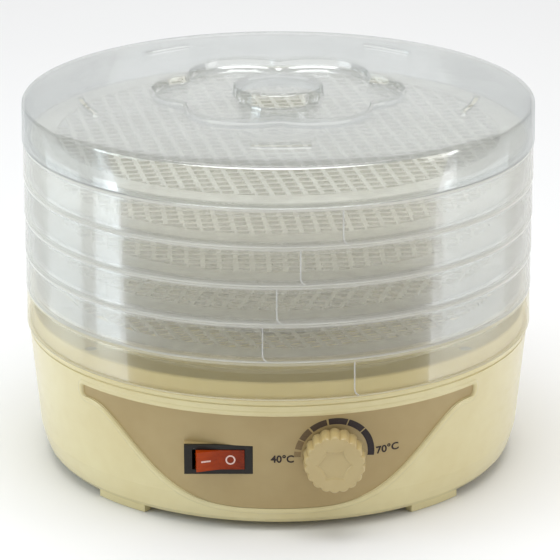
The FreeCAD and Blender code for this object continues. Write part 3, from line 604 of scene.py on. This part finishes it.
# ------------------------------------------------------------------ tray floors
# Each tray's floor is a fine moulded mesh that lets the warm air rise through
# the food, in a plain band that rests on the wall's flange, with a ring and an
# air hole in the middle.
mesh_clear = clear("clear_mesh", 0.27, (0.985, 0.985, 0.97), (0.95, 0.93, 0.86), 0.14, 0.35, 0.5)
cell_x = 7.4
cell_y = 6.5
band_in = 105.0
turns = (20.0, -14.0, 2.0, 6.0, 11.0)
floor_t = 1.6
for tray, z0, turn in zip(trays, shoulders, turns):
    bm = bmesh.new()
    many_x = 2 * int(band_in / cell_x) + 2
    many_y = 2 * int(band_in / cell_y) + 2
    bmesh.ops.create_grid(bm, x_segments=many_x, y_segments=many_y, size=0.5)
    for vert in bm.verts:
        vert.co.x *= many_x * cell_x * MM
        vert.co.y *= many_y * cell_y * MM
    outside = [face for face in bm.faces
               if max(vert.co.xy.length for vert in face.verts) > (band_in + 3.5) * MM
               or min(vert.co.xy.length for vert in face.verts) < 16.5 * MM]
    bmesh.ops.delete(bm, geom=outside, context="FACES")
    cells = bm.faces[:]
    bmesh.ops.inset_individual(bm, faces=cells, thickness=1.1 * MM, use_even_offset=True)
    bmesh.ops.delete(bm, geom=cells, context="FACES")
    bmesh.ops.solidify(bm, geom=bm.faces[:], thickness=(floor_t - 0.2) * MM)
    top = max(vert.co.z for vert in bm.verts)
    bmesh.ops.translate(bm, verts=bm.verts, vec=(0, 0, (z0 + floor_t - 0.1) * MM - top))
    bmesh.ops.rotate(bm, verts=bm.verts, matrix=Matrix.Rotation(math.radians(turn), 3, "Z"))
    bmesh.ops.recalc_face_normals(bm, faces=bm.faces)
    edge = wall_r - 4.4
    rim = turned([(edge - 0.3, z0), (edge, z0 + 0.3), (edge, z0 + 1.3), (edge - 0.3, z0 + 1.6),
                  (band_in + 0.3, z0 + 1.6), (band_in, z0 + 1.3), (band_in, z0 + 0.3),
                  (band_in + 0.3, z0)])
    hub = turned([(9.3, z0), (9.0, z0 + 0.3), (9.0, z0 + 1.3), (9.3, z0 + 1.6), (16.4, z0 + 1.6),
                  (16.4, z0 + 3.3), (16.7, z0 + 3.6), (17.7, z0 + 3.6), (18.0, z0 + 3.3),
                  (18.0, z0 + 1.6), (19.4, z0 + 1.6), (19.7, z0 + 1.3), (19.7, z0 + 0.3),
                  (19.4, z0)], 96)
    for extra in (rim, hub):
        part = bpy.data.meshes.new("part")
        extra.to_mesh(part)
        extra.free()
        bm.from_mesh(part)
        bpy.data.meshes.remove(part)
    piece(tray + "_mesh", bm, mesh_clear, tray, (tray + "_floor",))


# ------------------------------------------------------------------ lid
# The lid is one clear moulding with a fogged top: a rounded skirt, a crown
# sunk in the middle to a six-lobed finger recess with a round boss left in it,
# and five slots near the edge that let the steam out.
lid_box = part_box("lid")
lid_r = lid_box[1][0] / MM - 0.01
lid_low = lid_box[0][2] / MM
sh = lid_low + pitch - 0.1
top = sh + 5.0
well = top - 4.2
wall_at = 54.0
lobe_at = 33.0
lobe_r = 26.0
slot_in = lid_r - 28.5
slot_out = lid_r - 25.9
outline = [
    (0.0, top + 1.95), (12.0, top + 1.9), (19.0, top + 1.8), (20.2, top + 1.6), (20.8, top + 1.1),
    (21.0, top + 0.4), (21.3, well + 0.9), (21.7, well + 0.3), (22.5, well), (36.0, well),
    (51.0, well), (52.6, well + 0.2), (53.4, well + 0.9), (53.8, well + 2.0), (54.1, top - 0.9),
    (54.5, top - 0.3), (55.3, top), (57.0, top + 0.02), (70.0, top), (84.0, top),
    (slot_in, top - 0.4), (slot_out, top - 0.5), (102.0, top - 0.8), (109.0, top - 1.55),
    (115.2, sh + 2.4), (117.0, sh + 2.05), (118.4, sh + 1.6), (119.5, sh + 1.1),
    (120.3, sh + 0.5), (120.8, sh - 0.3), (lid_r - 0.3, sh - 1.2), (lid_r, lid_low + 0.5),
    (lid_r - 0.1, lid_low + 0.15), (lid_r - 0.4, lid_low), (lid_r - 1.2, lid_low),
    (lid_r - 1.5, lid_low + 0.3), (lid_r - 1.9, sh - 1.2), (118.9, sh - 0.2), (117.8, sh + 0.4),
    (115.0, sh + 1.0), (109.0, sh + 2.0), (102.0, top - 2.2), (slot_out, top - 1.9),
    (slot_in, top - 1.8), (84.0, top - 1.4), (70.0, top - 1.4), (57.2, top - 1.4),
    (55.9, top - 1.7), (55.4, top - 2.4), (55.0, well - 0.6), (54.4, well - 1.1),
    (53.0, well - 1.4), (36.0, well - 1.4), (20.6, well - 1.4), (19.9, well - 1.1),
    (19.6, top + 0.3), (19.2, top + 0.55), (12.0, top + 0.7), (0.0, top + 0.8)]
bm = turned(outline, 240, False)


easing = 50.0


def lobe_edge(a):
    """Radius of the six-lobed outline at an angle, its cusps eased a little."""
    total = 0.0
    for lobe in range(6):
        d = a - math.radians(60 * lobe)
        d = math.atan2(math.sin(d), math.cos(d))
        if abs(math.sin(d)) < lobe_r / lobe_at and math.cos(d) > 0:
            across = lobe_at * math.sin(d)
            reach = lobe_at * math.cos(d) + math.sqrt(lobe_r ** 2 - across ** 2)
            total += reach ** easing
    return total ** (1 / easing)


for vert in bm.verts:
    r = vert.co.xy.length / MM
    if 23.0 < r < 84.0:
        shift = lobe_edge(math.atan2(vert.co.y, vert.co.x)) - wall_at
        if r < 51.0:
            share = (r - 23.0) / 28.0
        elif r <= 57.3:
            share = 1.0
        else:
            share = (84.0 - r) / 26.7
        vert.co.xy *= (r + shift * share) / r
slots = [55.0 + 72.0 * index for index in range(5)]
slot_half = 8.0
opened = []
for face in bm.faces:
    middle = face.calc_center_median()
    r = middle.xy.length / MM
    a = math.degrees(math.atan2(middle.y, middle.x))
    near = min(abs((a - slot + 180) % 360 - 180) for slot in slots)
    if slot_in < r < slot_out and near < slot_half:
        opened.append(face)
bmesh.ops.delete(bm, geom=opened, context="FACES")
loose = [edge for edge in bm.edges if edge.is_boundary]
for slot in slots:
    ring = [edge for edge in loose
            if abs((math.degrees(math.atan2(edge.verts[0].co.y, edge.verts[0].co.x))
                    - slot + 180) % 360 - 180) < slot_half + 4.0]
    bmesh.ops.bridge_loops(bm, edges=ring)
bmesh.ops.recalc_face_normals(bm, faces=bm.faces)
lid_clear = clear("clear_lid", 0.03, (0.98, 0.985, 0.98), (0.47, 0.49, 0.485), 0.05, 0.24, 0.62,
                  ((sh - 1.5) * MM, (sh + 0.6) * MM, 0.05))
piece("lid_shell", bm, lid_clear, "lid_body", ("lid",))


# ------------------------------------------------------------------ floor and light
# A pale floor under a broad soft panel, one more at each side, a card behind
# for the lid's sheen and low cards close by that the clear walls mirror.
paper = Finish("pale_floor")
paper_sockets = {"Base Color": paper.blend(paper.cloud(400.0), (0.90, 0.90, 0.90),
                                           (0.88, 0.88, 0.88)), "Roughness": 0.8}
paper_made = paper.close(paper.plastic(paper_sockets))
bm = bmesh.new()
bmesh.ops.create_grid(bm, x_segments=2, y_segments=2, size=6.0)
mesh = bpy.data.meshes.new("floor")
bm.to_mesh(mesh)
bm.free()
mesh.materials.append(paper_made)
floor = bpy.data.objects.new("floor", mesh)
floor.data.transform(Matrix.Translation((0, 0, -0.0002)))
bpy.context.collection.objects.link(floor)

world = bpy.data.worlds.new("studio")
world.use_nodes = True
world.node_tree.nodes["Background"].inputs["Color"].default_value = (1.0, 1.0, 1.0, 1.0)
world.node_tree.nodes["Background"].inputs["Strength"].default_value = 0.41
bpy.context.scene.world = world


def softbox(name, spot, target, width, height, power, colour=(1.0, 1.0, 1.0), seen=True):
    lamp = bpy.data.lights.new(name, "AREA")
    lamp.shape = "RECTANGLE"
    lamp.size = width
    lamp.size_y = height
    lamp.energy = power
    lamp.color = colour
    holder = bpy.data.objects.new(name, lamp)
    holder.location = spot
    aim = Vector(target) - Vector(spot)
    holder.rotation_euler = aim.to_track_quat("-Z", "Y").to_euler()
    holder.visible_camera = seen
    bpy.context.collection.objects.link(holder)


cool = (0.83, 0.94, 1.0)
softbox("overhead", (0.0, -0.10, 1.6), (0, 0, 0), 1.2, 1.2, 18.0)
softbox("left_side", (-1.3, -0.4, 0.75), (0, 0, 0.09), 0.7, 1.0, 6.0, cool)
softbox("right_side", (1.35, -0.4, 0.6), (0, 0, 0.09), 0.5, 0.9, 3.5)
softbox("left_card_front", (-0.30, -0.12, 0.06), (0, -0.07, 0.08), 0.07, 0.11, 0.022, cool, False)
softbox("left_card_back", (-0.29, 0.02, 0.06), (0, -0.02, 0.08), 0.13, 0.11, 0.030, cool, False)
softbox("right_card", (0.30, -0.03, 0.06), (0, -0.03, 0.08), 0.22, 0.11, 0.035, cool, False)
softbox("back_card", (0.0, 1.6, 0.65), (0, 0, 0.1), 2.4, 1.2, 5.0, (1.0, 1.0, 1.0), False)

camera = bpy.data.cameras.new("camera")
camera.lens = 189.6
camera.sensor_width = 36.0
camera.clip_start = 0.05
camera.clip_end = 50.0
viewer = bpy.data.objects.new("camera", camera)
viewer.location = (0.0008, -1.3450, 0.5436)
viewer.rotation_euler = (math.radians(71.05), 0.0, 0.0)
bpy.context.collection.objects.link(viewer)
scene = bpy.context.scene
scene.camera = viewer
scene.view_settings.view_transform = "Standard"
scene.cycles.transparent_max_bounces = 64
